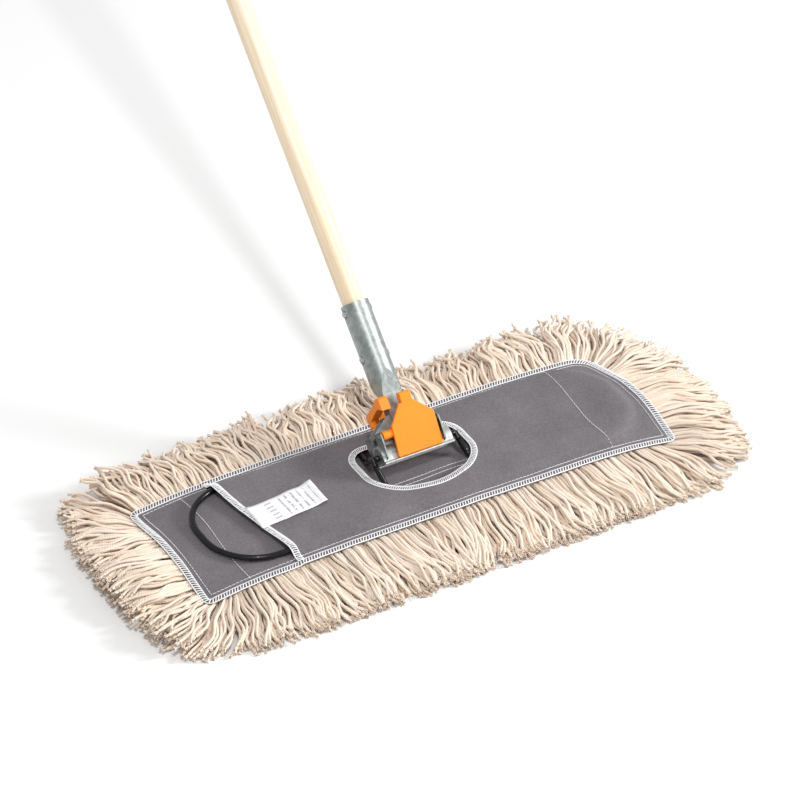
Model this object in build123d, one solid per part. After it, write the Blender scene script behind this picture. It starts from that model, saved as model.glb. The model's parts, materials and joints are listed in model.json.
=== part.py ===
from build123d import *
import math
import os

# Clip-on dust mop: tufted cotton head with a wire frame in its pocket, a steel hub,
# an orange-levered clip and a wooden pole. Millimetres, +Z up, +X along the head,
# +Y the way the pole leans. The origin is on the floor under the middle of the head.

# --- mop head ---
cloth_left, cloth_right = -271.0, 251.0
cloth_half = 81.5  # half width of the sewn backing
cloth_base, cloth_top = 22.4, 24.0
cloth_corner = 9.0
layer = 1.2  # thickness of the pocket cloth
pocket_top = 32.0  # the pocket tents over the wire
pocket_flat_half, pocket_foot_half = 66.0, 76.0
pocket_flat_right, pocket_foot_right = 239.0, 246.0
mouth_back, mouth_front = -190.0, -169.0  # the pocket's mouth is cut a little askew
window_x = 6.5  # middle of the opening that the clip stands in
window_half_length, window_front, window_back = 57.0, 41.0, 38.0
window_corner = 18.0
band = 6.5  # width of an overlocked edge
band_lift = 0.9
stitch_row_y = (-17.0, -23.0)
pad_strips = 3
pad_gap = 1.2
fringe_length = 78.0
fringe_foot_corner = 46.0
fringe_side_height = 9.0
label_size = (75.0, 36.0, 0.5)
label_corner = (-176.0, -19.5)

# --- wire frame ---
wire = 6.0
wire_z = 27.3
rail_half = 60.5
loop_tip = {"left": -233.0, "right": 234.0}
loop_corner = 54.0
leg_start = {"left": -43.0, "right": 49.0}  # where the legs come up beside the hub
leg_rise = 0.2
back_leg = {"left": [(6, 24), (8, 44), (-12, rail_half)], "right": [(6, 20), (11, 44), (31, rail_half)]}
front_leg = {"left": [(3, -22), (12, -44), (4, -rail_half)], "right": [(7, -12), (13, -40), (31, -rail_half)]}
weld_radius = 2.6

# --- hub, clip and handle, drawn upright about the hub's axis and then leaned back ---
lean = 45.5  # degrees back from vertical at rest
clip_x = -2.5
hub_z = 48.0
hub_left, hub_right = -34.5, 43.0  # from the clip's middle
hub_radius, hub_wall = 11.0, 1.4
hub_skirt = -7.0
lip_radius, lip_y, lip_z = 1.8, 10.6, -8.0
bush_length = 7.0
pin_fit = 0.05  # running clearance round a pin
body_half = 33.0
plate_y, plate = 8.4, 1.4
plate_top = 36.0
plate_top_half = 15.0
notch_half, notch_bottom = 11.4, 21.0
pin_y, pin_z, pin_radius = 14.0, 18.0, 1.5
lever_left, lever_right = -19.5, 30.5
lever_bottom = (14.6, -7.0)  # front face: distance from the clip's middle plane, height
lever_top = (26.0, 42.0)
lever_wall = 3.0
shoulder = 34.0
lever_crown = (-5.0, 11.0)
knuckle_radius, knuckle_width = 4.4, 9.0
tab_width, tab_depth, tab_height = 12.0, 8.0, 10.0
coil_radius, coil_left, coil_length = 2.6, 2.0, 11.0
rear_arm = (-21.5, -11.9)  # the rear lever's arm passes left of the neck
tooth_half = 14.0

# --- ferrule and pole ---
ferrule_radius, ferrule_wall = 14.4, 1.4
rim_z = 152.0
facet_top, facet_end = 82.0, 57.0
neck_half, neck_front = 10.2, 10.0
neck_open_back = -4.0
neck_end = 22.6
tongue_end = 10.4
pole_radius, pole_length = 11.9, 1524.0
pole_foot = 86.0
pole_dome = 5.0
socket_radius = 11.5  # the foot is turned down up to just inside the rim
socket_step = rim_z - 0.5
rivet_heights = (rim_z - 8.0, rim_z - 56.0)
rivet_radius, rivet_head = 2.4, 4.2
rivet_seat = ferrule_radius - 0.62  # the tube is pressed flat under each head
tongue_rivets = (13.6, 19.0)


def leaned(shape):
    """Takes a shape drawn upright about the hub's axis to its place at rest."""
    return shape.moved(Pos(clip_x, 0, hub_z) * Rot(-lean, 0, 0))


def turned(shape):
    """The same shape on the other side of the clip."""
    return shape.moved(Rot(0, 0, 180))


def box(low, high):
    """A box between two corners."""
    size = [b - a for a, b in zip(low, high)]
    middle = [(a + b) / 2 for a, b in zip(low, high)]
    return Pos(*middle) * Box(*size)


def rod(radius, start, end):
    """A round bar between two points."""
    run = Vector(*end) - Vector(*start)
    plane = Plane(origin=start, z_dir=run)
    return extrude(plane * Circle(radius), run.length)


def slab(outline, low, high):
    """An outline in X and Y, from one height to another."""
    return Pos(0, 0, low) * extrude(outline, high - low)


def side_slab(points, left, right):
    """An outline in Y and Z, from one X to another."""
    face = make_face(Plane.YZ * Polyline(*points, close=True))
    return Pos(left, 0, 0) * extrude(face, right - left, dir=(1, 0, 0))


def group(shapes):
    """Several separate solids as one shape."""
    return Compound([solid for shape in shapes for solid in shape.solids()])


def save(shape, name):
    export_step(shape, "parts/" + name + ".step")


# --- cloth ---
def cloth_outline(inset=0.0):
    length = cloth_right - cloth_left - 2 * inset
    width = 2 * (cloth_half - inset)
    middle = (cloth_left + cloth_right) / 2
    return Pos(middle, 0) * RectangleRounded(length, width, max(cloth_corner - inset, 1.5))


def window_outline(grow=0.0):
    """Half an ellipse at the front, squarer at the back."""
    half = window_half_length + grow
    front = Ellipse(half, window_front + grow) & Pos(0, -100) * Rectangle(400, 200)
    back = RectangleRounded(2 * half, 2 * (window_back + grow), window_corner + grow)
    back &= Pos(0, 100) * Rectangle(400, 200)
    return Pos(window_x, 0) * (front + back)


def mouth_side(shift=0.0, reach=400.0):
    """Everything to the right of the pocket's mouth, in X and Y."""
    points = [(mouth_front + shift, -cloth_half - 1), (reach, -cloth_half - 1)]
    points += [(reach, cloth_half + 1), (mouth_back + shift, cloth_half + 1)]
    return make_face(Polyline(*points, close=True))


def tent(foot_half, foot_right, flat_half, flat_right, height):
    """A low tent, open at the left, that stands on the backing."""
    left = mouth_back - 30
    foot = Pos((left + foot_right) / 2, 0, cloth_top) * Rectangle(foot_right - left, 2 * foot_half)
    flat = Pos((left + flat_right) / 2, 0, height) * Rectangle(flat_right - left, 2 * flat_half)
    return loft([foot, flat])


def backing_cloth():
    return slab(cloth_outline(), cloth_base, cloth_top)


def pocket_cloth():
    outer = tent(pocket_foot_half, pocket_foot_right, pocket_flat_half, pocket_flat_right, pocket_top)
    inner = tent(pocket_foot_half - 2 * layer, pocket_foot_right - 2 * layer,
                 pocket_flat_half - layer, pocket_flat_right - layer, pocket_top - layer)
    rim = slab(cloth_outline(0.2), cloth_top, cloth_top + layer)
    flange = rim - slab(Rectangle(2 * (pocket_foot_right - 4), 2 * (pocket_foot_half - 2)), 0, 60)
    inside = slab(mouth_side(), 0, 60)
    cloth = (outer - inner) + flange
    cloth = cloth & inside
    return cloth - slab(window_outline(), 0, 60)


def outer_overlock():
    ring = slab(cloth_outline(), 0, 60) - slab(cloth_outline(band), 0, 60)
    left = ring - slab(mouth_side(-0.2), 0, 60)
    right = ring & slab(mouth_side(), 0, 60)
    low = left & box((-400, -200, cloth_top), (400, 200, cloth_top + band_lift))
    base = cloth_top + layer
    high = right & box((-400, -200, base), (400, 200, base + band_lift))
    high -= tent(pocket_foot_half, pocket_foot_right, pocket_flat_half, pocket_flat_right, pocket_top)
    return group([low, high])


def window_overlock():
    ring = window_outline(band) - window_outline(0.0)
    return slab(ring, pocket_top, pocket_top + band_lift)


def mouth_overlock():
    strip = mouth_side() - mouth_side(band)
    strip &= Rectangle(900, 2 * pocket_flat_half - 1)
    return slab(strip, pocket_top, pocket_top + band_lift)


def care_label():
    length, width, thick = label_size
    low = (*label_corner, pocket_top + band_lift + 0.1)
    return box(low, (low[0] + length, low[1] + width, low[2] + thick))


def stitch_rows():
    """Two rows of lockstitch that hold the tufts to the backing."""
    rows = []
    for y in stitch_row_y:
        rows.append(box((cloth_left + 60, y - 0.5, cloth_top), (cloth_right - 60, y + 0.5, cloth_top + 0.25)))
    return group(rows)


# --- yarn ---
def yarn_strip(index):
    pitch = 2 * cloth_half / pad_strips
    low = -cloth_half + index * pitch + pad_gap / 2
    return box((cloth_left + 1, low, 0), (cloth_right - 1, low + pitch - pad_gap, cloth_base))


def fringe_ring():
    """The skirt of yarn round the head: it slopes from the cloth's edge to near the floor."""
    middle = (cloth_left + cloth_right) / 2
    length = cloth_right - cloth_left
    foot = RectangleRounded(length + 2 * fringe_length, 2 * (cloth_half + fringe_length), fringe_foot_corner)
    top = RectangleRounded(length + 1.2, 2 * cloth_half + 1.2, cloth_corner)
    skirt = loft([Pos(middle, 0, fringe_side_height) * foot, Pos(middle, 0, cloth_top + 1) * top])
    skirt += Pos(middle, 0, 0) * extrude(foot, fringe_side_height)
    return skirt - slab(Pos(middle, 0) * Rectangle(length + 0.6, 2 * cloth_half + 0.6), -1, 60)


def fringe_side(ring, side):
    """One side of the skirt, mitred at the corners."""
    reach = 400.0
    corner_x = {"left": (cloth_left, cloth_left - reach), "right": (cloth_right, cloth_right + reach)}
    if side in corner_x:
        near, far = corner_x[side]
        points = [(near, -cloth_half), (far, -cloth_half - reach), (far, cloth_half + reach), (near, cloth_half)]
    else:
        sign = 1 if side == "back" else -1
        points = [(cloth_left, sign * cloth_half), (cloth_left - reach, sign * (cloth_half + reach))]
        points += [(cloth_right + reach, sign * (cloth_half + reach)), (cloth_right, sign * cloth_half)]
    return ring & slab(make_face(Polyline(*points, close=True)), -1, 60)


# --- wire frame ---
def hub_end(side):
    return clip_x + (hub_left if side == "left" else hub_right)


def leg_points(side, offsets):
    """The route of a leg from beside the hub out to its rail."""
    near, middle, far = [(leg_start[side] + x, y) for x, y in offsets]
    return [(*near, wire_z + leg_rise), (*middle, wire_z), (*far, wire_z)]


def wire_half(side):
    """One loop of the frame. Its back leg ends as the stub that the hub turns on."""
    sign = -1 if side == "left" else 1
    x, tip = leg_start[side], loop_tip[side]
    front_end = (x + sign * 0.8, -wire, hub_z - 4)
    route = [(hub_end(side) - sign * 14, 0, hub_z), (x, 0, hub_z), *leg_points(side, back_leg[side])]
    route += [(tip, rail_half, wire_z), (tip, -rail_half, wire_z)]
    route += [*reversed(leg_points(side, front_leg[side])), front_end]
    radii = [4.5, 12, 12, 14, loop_corner, loop_corner, 12, 12, 12]
    path = FilletPolyline(*route, radius=radii)
    plane = Plane(origin=path @ 0, z_dir=path % 0)
    loop = sweep(plane * Circle(wire / 2), path=path, transition=Transition.ROUND)
    return loop + rod(weld_radius, front_end, (x + sign * 0.5, 0.5, hub_z + 0.5))


# --- hub ---
def hub_shell():
    """Half-round steel cover with rolled lips and a slot each side for the levers' teeth."""
    skirt = -hub_skirt
    section = Circle(hub_radius) & Pos(0, hub_radius / 2) * Rectangle(3 * hub_radius, hub_radius)
    section += Pos(0, hub_skirt / 2) * Rectangle(2 * hub_radius, skirt)
    hollow = Circle(hub_radius - hub_wall) & Pos(0, hub_radius / 2) * Rectangle(3 * hub_radius, hub_radius)
    hollow += Pos(0, hub_skirt / 2 - 1) * Rectangle(2 * (hub_radius - hub_wall), skirt + 2)
    section -= hollow
    for sign in (-1, 1):
        section += Pos(sign * lip_y, lip_z) * Circle(lip_radius)
    shell = Pos(hub_left, 0, 0) * extrude(Plane.YZ * section, hub_right - hub_left, dir=(1, 0, 0))
    slot = box((-16, -20, -5), (16, 20, -1))
    return shell - slot


def hub_bush(end, sign):
    """End plug in the hub, bored for the frame wire's stub."""
    section = Circle(hub_radius - hub_wall - 0.02) - Circle(wire / 2 + pin_fit)
    section &= Pos(0, 2) * Rectangle(40, 16)
    plane = Plane(origin=(end, 0, 0), x_dir=(0, 1, 0), z_dir=(1, 0, 0))
    start = end if sign < 0 else end - bush_length
    return Pos(start - end, 0, 0) * extrude(plane * section, bush_length)


# --- clip ---
def clip_plate():
    """Front half of the clip's pressed-steel body, with an ear at each side for the lever pin."""
    points = [(-body_half, 8.8), (body_half, 8.8), (body_half, 22)]
    points += [(plate_top_half, plate_top), (-plate_top_half, plate_top), (-body_half, 22)]
    face = make_face(Plane.XZ * Polyline(*points, close=True))
    sheet = Pos(0, -plate_y + plate, 0) * extrude(face, plate)
    sheet -= box((-notch_half, -20, notch_bottom), (notch_half, 20, 60))
    ear = [(-6.6, 12), (-6.6, 10.4), (-9.4, 7.4), (-11.6, 3.6), (-12.2, -3), (-13.4, -5.6)]
    ear += [(-18.2, -3.2), (-21.0, 12), (-20.6, 20), (-17.0, 22.4), (-6.6, 22)]
    for side in (-body_half, body_half - plate):
        sheet += side_slab(ear, side, side + plate)
    saddle = Circle(hub_radius + 0.05 + plate) - Circle(hub_radius + 0.05)
    saddle &= Pos(-10, 10) * Rectangle(20, 20)
    sheet += Pos(-body_half, 0, 0) * extrude(Plane.YZ * saddle, 2 * body_half, dir=(1, 0, 0))
    for sign in (-1, 1):
        sheet -= rod(pin_radius, (sign * 40, -pin_y, pin_z), (sign * 20, -pin_y, pin_z))
    for z in tongue_rivets:
        sheet -= rod(1.6, (0, -20, z), (0, 0, z))
    return sheet - box((-60, -0.03, -40), (60, 40, 80))


def lever_pin():
    """A steel pin from ear to ear, with a small head at its left end."""
    pin = rod(pin_radius, (-body_half - 0.6, -pin_y, pin_z), (body_half, -pin_y, pin_z))
    head = rod(2.4, (-body_half - 1.4, -pin_y, pin_z), (-body_half - 0.02, -pin_y, pin_z))
    return pin + head


def lever_angle():
    return math.degrees(math.atan2(lever_top[0] - lever_bottom[0], lever_top[1] - lever_bottom[1]))


def lever_frame():
    """The front face of the lever's plate: X across, local Y up its slope."""
    tilt = math.radians(lever_angle())
    origin = (0, -lever_bottom[0], lever_bottom[1])
    return Plane(origin=origin, x_dir=(1, 0, 0), z_dir=(0, -math.cos(tilt), -math.sin(tilt)))


def lever_length():
    return math.hypot(lever_top[0] - lever_bottom[0], lever_top[1] - lever_bottom[1])


def lever_plate():
    """Five-sided plate with its outer edges rounded over."""
    length = lever_length()
    points = [(lever_left, 0), (lever_right, 0), (lever_right - 1.5, shoulder)]
    points += [(lever_crown[1], length), (lever_crown[0], length), (lever_left + 1.0, shoulder - 3)]
    outline = make_face(Polyline(*points, close=True))
    outline = fillet(outline.vertices(), 1.6)
    solid = extrude(lever_frame() * outline, -lever_wall)
    front = solid.faces().sort_by(Axis.Y)[0]
    return fillet(front.edges(), 0.7)


def knuckle(left, right):
    """Hook that wraps the pin, joined to the back of the plate."""
    bore = rod(pin_radius + pin_fit, (left - 1, -pin_y, pin_z), (right + 1, -pin_y, pin_z))
    eye = rod(knuckle_radius, (left, -pin_y, pin_z), (right, -pin_y, pin_z))
    return eye - bore


def front_lever():
    length = lever_length()
    lever = lever_plate()
    lever += knuckle(lever_left - knuckle_width, lever_left + 4)
    lever += knuckle(lever_right - 10, lever_right - 3)
    crown_mid = (lever_crown[0] + lever_crown[1]) / 2 + 1
    low, high = crown_mid - tab_width / 2, crown_mid + tab_width / 2
    tab = extrude(lever_frame() * (Pos(crown_mid, length + tab_height / 2 - 2) * Rectangle(tab_width, tab_height + 4)),
                  -tab_depth)
    tab = fillet(tab.edges().filter_by(Axis.X).sort_by(Axis.Z)[-2:], 2.2)
    tab = fillet(tab.edges().filter_by(lambda e: e.center().Z > 48), 0.6)
    lever += tab
    return lever + tooth() - lever_bore()


def tooth():
    """The bar at the foot of the lever, and the tooth that goes through the hub's slot."""
    foot = -lever_bottom[0]
    bar = box((-tooth_half, foot - 0.6, -6.0), (tooth_half, foot + 2.4, 0))
    return bar + box((-tooth_half, foot + 1.0, -4.6), (tooth_half, -9.8, -1.4))


def lever_bore():
    return rod(pin_radius + pin_fit, (-60, -pin_y, pin_z), (60, -pin_y, pin_z))


def rear_lever():
    """The front lever mirrored, with an arm that brings its tab round the neck."""
    lever = lever_plate()
    lever += knuckle(lever_left - knuckle_width, lever_left + 4)
    lever += knuckle(lever_right - 10, lever_right - 3)
    lever = mirror(lever + tooth() - lever_bore(), about=Plane.XZ)
    left, right = rear_arm
    arm = [(22.0, 29.0), (24.0, 37.5), (24.0, 44.0), (-8.0, 52.0), (-9.0, 54.5), (-18.0, 54.5)]
    arm += [(-20.0, 52.5), (-20.0, 41.0), (-9.0, 45.0), (17.0, 37.5), (17.0, 29.0)]
    block = side_slab(arm, left, right)
    block = fillet(block.edges().filter_by(Axis.X).sort_by(Axis.Y)[0:1], 2.0)
    return lever + block


def coil_spring(side):
    """Torsion spring on the lever pin: a close coil, solid outline only."""
    tube = Circle(coil_radius) - Circle(pin_radius + 0.1)
    plane = Plane(origin=(coil_left, side * pin_y, pin_z), x_dir=(0, 1, 0), z_dir=(1, 0, 0))
    return extrude(plane * tube, coil_length)


# --- ferrule and pole ---
def ferrule_solid(grow):
    """The tube's outline, faceted at the front and sides where it narrows to the neck."""
    radius = ferrule_radius + grow
    body = rod(radius, (0, 0, neck_end), (0, 0, rim_z))
    low, far = neck_end - 1, 40.0
    front = -(neck_front + grow)
    body -= side_slab([(front, low), (front, facet_end), (-radius - 0.3, facet_top), (-far, facet_top), (-far, low)],
                      -far, far)
    for sign in (-1, 1):
        side = sign * (neck_half + grow)
        points = [(side, low), (side, facet_end), (sign * (radius + 0.3), facet_top + 4)]
        points += [(sign * far, facet_top + 4), (sign * far, low)]
        face = make_face(Plane.XZ * Polyline(*points, close=True))
        body -= extrude(face, far, both=True)
    return body


def ferrule():
    shell = ferrule_solid(0) - ferrule_solid(-ferrule_wall)
    shell -= rod(ferrule_radius - ferrule_wall, (0, 0, 80), (0, 0, rim_z + 1))
    shell -= side_slab([(-neck_open_back, 0), (-neck_open_back, 56), (15.5, 71), (30, 71), (30, 0)], -40, 40)
    tongue = box((-neck_half, -neck_front, tongue_end), (neck_half, -plate_y - 0.04, neck_end + 4))
    ferrule_shell = shell + tongue
    for z in rivet_heights:
        ferrule_shell -= rod(rivet_radius, (-40, 0, z), (40, 0, z))
        for sign in (-1, 1):
            ferrule_shell -= rod(rivet_head + 0.5, (sign * rivet_seat, 0, z), (sign * 40, 0, z))
    for z in tongue_rivets:
        ferrule_shell -= rod(1.6, (0, -20, z), (0, 0, z))
    return ferrule_shell


def pole():
    """A round shaft, turned down where it sits in the ferrule, with a domed end."""
    shaft = rod(pole_radius, (0, 0, socket_step), (0, 0, pole_foot + pole_length))
    shaft = fillet(shaft.edges().sort_by(Axis.Z)[-1], pole_dome)
    shaft += rod(socket_radius, (0, 0, pole_foot), (0, 0, socket_step))
    for z in rivet_heights:
        shaft -= rod(rivet_radius, (-40, 0, z), (40, 0, z))
    return shaft


def ferrule_rivet():
    """A rivet along X with a domed, dimpled head at each end."""
    seat, radius, head = rivet_seat, rivet_radius, rivet_head
    shank = [(0, 0), (0, radius), (seat, radius), (seat, head)]
    dome = [(seat + 0.6, head), (seat + 1.3, 0.86 * head), (seat + 1.9, 0.62 * head), (seat + 2.2, 0.38 * head)]
    dimple = [(seat + 1.6, 0.2 * head), (seat + 1.5, 0)]
    section = make_face(Polyline(*shank, *dome, *dimple, close=True))
    half = revolve(section, Axis.X)
    return half + turned(half)


def ferrule_rivets():
    """Two rivets right through the ferrule and pole."""
    return group([ferrule_rivet().moved(Pos(0, 0, z)) for z in rivet_heights])


def body_rivets():
    """Two rivets that hold the neck's tongue to the clip's front plate."""
    rivets = []
    for z in tongue_rivets:
        shank = rod(1.6, (0, -neck_front, z), (0, -plate_y + plate, z))
        head = rod(2.7, (0, -neck_front - 0.9, z), (0, -neck_front - 0.02, z))
        tail = rod(2.5, (0, -plate_y + plate + 0.02, z), (0, -plate_y + plate + 0.9, z))
        rivets.append(shank + head + tail + rod(1.6, (0, -neck_front - 0.1, z), (0, -plate_y + plate + 0.1, z)))
    return group(rivets)


def main():
    os.makedirs("parts", exist_ok=True)
    save(backing_cloth(), "backing_cloth")
    save(pocket_cloth(), "pocket_cloth")
    save(outer_overlock(), "outer_overlock")
    save(window_overlock(), "window_overlock")
    save(mouth_overlock(), "mouth_overlock")
    save(care_label(), "care_label")
    save(stitch_rows(), "stitch_rows")
    for index in range(pad_strips):
        save(yarn_strip(index), f"yarn_strip_{index + 1}")
    ring = fringe_ring()
    for side in ("front", "back", "left", "right"):
        save(fringe_side(ring, side), "fringe_" + side)
    for side in ("left", "right"):
        save(wire_half(side), "frame_wire_" + side)
    save(leaned(hub_shell()), "hub_shell")
    save(leaned(hub_bush(hub_left, -1)), "hub_bush_left")
    save(leaned(hub_bush(hub_right, 1)), "hub_bush_right")
    save(leaned(clip_plate()), "clip_front_plate")
    save(leaned(turned(clip_plate())), "clip_rear_plate")
    save(leaned(lever_pin()), "front_lever_pin")
    save(leaned(turned(lever_pin())), "rear_lever_pin")
    save(leaned(front_lever()), "front_lever")
    save(leaned(rear_lever()), "rear_lever")
    save(leaned(coil_spring(-1)), "front_spring")
    save(leaned(coil_spring(1)), "rear_spring")
    save(leaned(ferrule()), "ferrule")
    save(leaned(pole()), "pole")
    save(leaned(ferrule_rivets()), "ferrule_rivets")
    save(leaned(body_rivets()), "body_rivets")


main()
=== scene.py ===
import json
import math

import bpy
from mathutils import Matrix, Vector, noise
from mathutils.geometry import delaunay_2d_cdt


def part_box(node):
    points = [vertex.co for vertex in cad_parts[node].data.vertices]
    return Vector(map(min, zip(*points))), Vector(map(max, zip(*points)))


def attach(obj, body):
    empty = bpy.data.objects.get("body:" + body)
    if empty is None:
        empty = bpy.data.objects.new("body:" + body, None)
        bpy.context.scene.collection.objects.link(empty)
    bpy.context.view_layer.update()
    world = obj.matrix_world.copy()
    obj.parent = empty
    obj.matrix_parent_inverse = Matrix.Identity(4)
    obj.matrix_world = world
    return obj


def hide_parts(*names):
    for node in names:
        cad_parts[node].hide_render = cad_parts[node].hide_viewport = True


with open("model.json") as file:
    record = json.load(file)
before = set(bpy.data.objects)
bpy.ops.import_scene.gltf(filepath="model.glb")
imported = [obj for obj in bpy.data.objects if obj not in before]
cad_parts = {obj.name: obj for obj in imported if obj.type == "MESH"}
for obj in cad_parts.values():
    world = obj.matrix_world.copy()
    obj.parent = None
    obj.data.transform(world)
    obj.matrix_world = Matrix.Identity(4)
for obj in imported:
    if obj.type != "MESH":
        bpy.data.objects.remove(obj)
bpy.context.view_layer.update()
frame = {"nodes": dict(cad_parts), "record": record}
nodes = frame["nodes"]
print("frame loaded")


# A socket that Python expressions can use, in shader trees and in geometry trees.
class Sock:
    def __init__(self, tree, socket=None):
        self.tree = tree
        self.socket = socket

    def node(self, kind, settings=None, values=None, out=0):
        made = self.tree.nodes.new(kind)
        for name, value in (settings or {}).items():
            setattr(made, name, value)
        for key, value in (values or {}).items():
            if isinstance(value, Sock):
                self.tree.links.new(value.socket, made.inputs[key])
            else:
                made.inputs[key].default_value = value
        return Sock(self.tree, made.outputs[out] if len(made.outputs) else made)

    def out(self, key):
        return Sock(self.tree, self.socket.node.outputs[key])

    def math(self, operation, *values):
        return self.node("ShaderNodeMath", {"operation": operation}, dict(enumerate(values)))

    def vector(self, operation, *values, out=0):
        return self.node("ShaderNodeVectorMath", {"operation": operation}, dict(enumerate(values)), out)

    def sin(self):
        return self.math("SINE", self)

    def cos(self):
        return self.math("COSINE", self)

    def clamp(self, low=0.0, high=1.0):
        return self.math("MINIMUM", self.math("MAXIMUM", self, low), high)

    def __add__(self, other):
        return self.math("ADD", self, other)

    def __radd__(self, other):
        return self.math("ADD", other, self)

    def __sub__(self, other):
        return self.math("SUBTRACT", self, other)

    def __rsub__(self, other):
        return self.math("SUBTRACT", other, self)

    def __mul__(self, other):
        return self.math("MULTIPLY", self, other)

    def __rmul__(self, other):
        return self.math("MULTIPLY", other, self)

    def __truediv__(self, other):
        return self.math("DIVIDE", self, other)

    def __rtruediv__(self, other):
        return self.math("DIVIDE", other, self)


def rgb(red, green, blue):
    parts = []
    for value in (red, green, blue):
        value = value / 255
        parts.append(value / 12.92 if value <= 0.04045 else ((value + 0.055) / 1.055) ** 2.4)
    return (*parts, 1.0)


def newMaterial(name, **shaderValues):
    material = bpy.data.materials.new(name)
    material.use_nodes = True
    shader = next(n for n in material.node_tree.nodes if n.type == "BSDF_PRINCIPLED")
    for key, value in shaderValues.items():
        shader.inputs[key.replace("_", " ")].default_value = value
    return material, Sock(material.node_tree), shader


def plug(link, shader, key):
    link.tree.links.new(link.socket, shader.inputs[key])


def mixColour(factor, first, second):
    start = factor if isinstance(factor, Sock) else first
    return start.node("ShaderNodeMix", {"data_type": "RGBA"}, {0: factor, 6: first, 7: second}, 2)


def bump(height, strength, distance):
    return height.node("ShaderNodeBump", None, {"Strength": strength, "Distance": distance, "Height": height})


def noiseOn(place, scale, detail=3.0, rough=0.5):
    return place.node("ShaderNodeTexNoise", None,
                      {"Vector": place, "Scale": scale, "Detail": detail, "Roughness": rough})


def stretched(place, scale, turn=(0, 0, 0)):
    return place.node("ShaderNodeMapping", None, {"Vector": place, "Rotation": turn, "Scale": scale})


# Camera, floor and lights.
view = {
    "place": Vector((-2.013, -3.485, 3.085)),
    "target": Vector((-0.013, 0.0, 0.110)),
    "lens": 232.0,
}
lamps = {
    "keyLamp": {"place": (-0.75, -2.1, 4.2), "aim": (0.0, 0.1, 0.0), "size": 0.45, "power": 88.0},
    "sideLamp": {"place": (3.3, -2.0, 1.9), "aim": (0.0, 0.0, 0.0), "size": 0.9, "power": 140.0},
}
worldStrength = 0.60
poleLean = math.radians(45.5)
floorGap = 0.0003  # the least height of any yarn over the floor


def aimed(obj, place, target):
    obj.location = place
    obj.rotation_euler = (Vector(target) - Vector(place)).to_track_quat("-Z", "Y").to_euler()
    bpy.context.scene.collection.objects.link(obj)


camera = bpy.data.cameras.new("studioCamera")
camera.lens = view["lens"]
camera.sensor_width = 36.0
camera.clip_end = 60.0
cameraObject = bpy.data.objects.new("studioCamera", camera)
aimed(cameraObject, view["place"], view["target"])
bpy.context.scene.camera = cameraObject

for name, spec in lamps.items():
    light = bpy.data.lights.new(name, "AREA")
    light.size = spec["size"]
    light.energy = spec["power"]
    aimed(bpy.data.objects.new(name, light), spec["place"], spec["aim"])

world = bpy.data.worlds.new("studio")
world.use_nodes = True
world.node_tree.nodes["Background"].inputs[0].default_value = (1, 1, 1, 1)
world.node_tree.nodes["Background"].inputs[1].default_value = worldStrength
bpy.context.scene.world = world
bpy.context.scene.view_settings.view_transform = "Standard"


def meshObject(name, points, faces, edges=()):
    mesh = bpy.data.meshes.new(name)
    mesh.from_pydata([tuple(p) for p in points], list(edges), faces)
    mesh.validate()
    made = bpy.data.objects.new(name, mesh)
    bpy.context.scene.collection.objects.link(made)
    return made


floorMaterial, floorTree, shader = newMaterial("floorPaint", Base_Color=(0.9, 0.9, 0.9, 1), Roughness=0.75)
shader.inputs["Specular IOR Level"].default_value = 0.1
floor = meshObject("floor", [(-9, -9, 0), (9, -9, 0), (9, 9, 0), (-9, 9, 0)], [(0, 1, 2, 3)])
floor.data.materials.append(floorMaterial)
print("camera, lights and floor ready")


# Materials.
def greyClothMaterial():
    look = {"colour": rgb(127, 122, 126), "shade": rgb(92, 88, 92), "weave": 0.0009}
    material, tree, shader = newMaterial("greyCloth", Roughness=0.88)
    shader.inputs["Specular IOR Level"].default_value = 0.25
    shader.inputs["Sheen Weight"].default_value = 0.15
    place = tree.node("ShaderNodeTexCoord", out="Object")
    x = place.node("ShaderNodeSeparateXYZ", None, {0: place})
    y = x.out(1)
    turn = 2 * math.pi / look["weave"]
    threads = (x * turn).sin() * (y * turn).sin()
    blotch = noiseOn(place, 26.0, 2.0)
    grain = noiseOn(place, 420.0, 2.0)
    tone = (blotch * 0.7 + grain * 1.1 + threads * 0.1 - 0.42).clamp()
    plug(mixColour(tone, look["shade"], look["colour"]), shader, "Base Color")
    plug(bump(threads * 0.5 + grain * 1.2, 0.5, 0.0005), shader, "Normal")
    return material


def threadMaterial():
    look = {"colour": rgb(252, 252, 252), "shade": rgb(222, 223, 226)}
    material, tree, shader = newMaterial("whiteThread", Roughness=0.7)
    place = tree.node("ShaderNodeTexCoord", out="Object")
    fibre = noiseOn(place, 1500.0, 2.0)
    plug(mixColour(fibre, look["shade"], look["colour"]), shader, "Base Color")
    plug(bump(fibre, 0.4, 0.0002), shader, "Normal")
    return material


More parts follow.
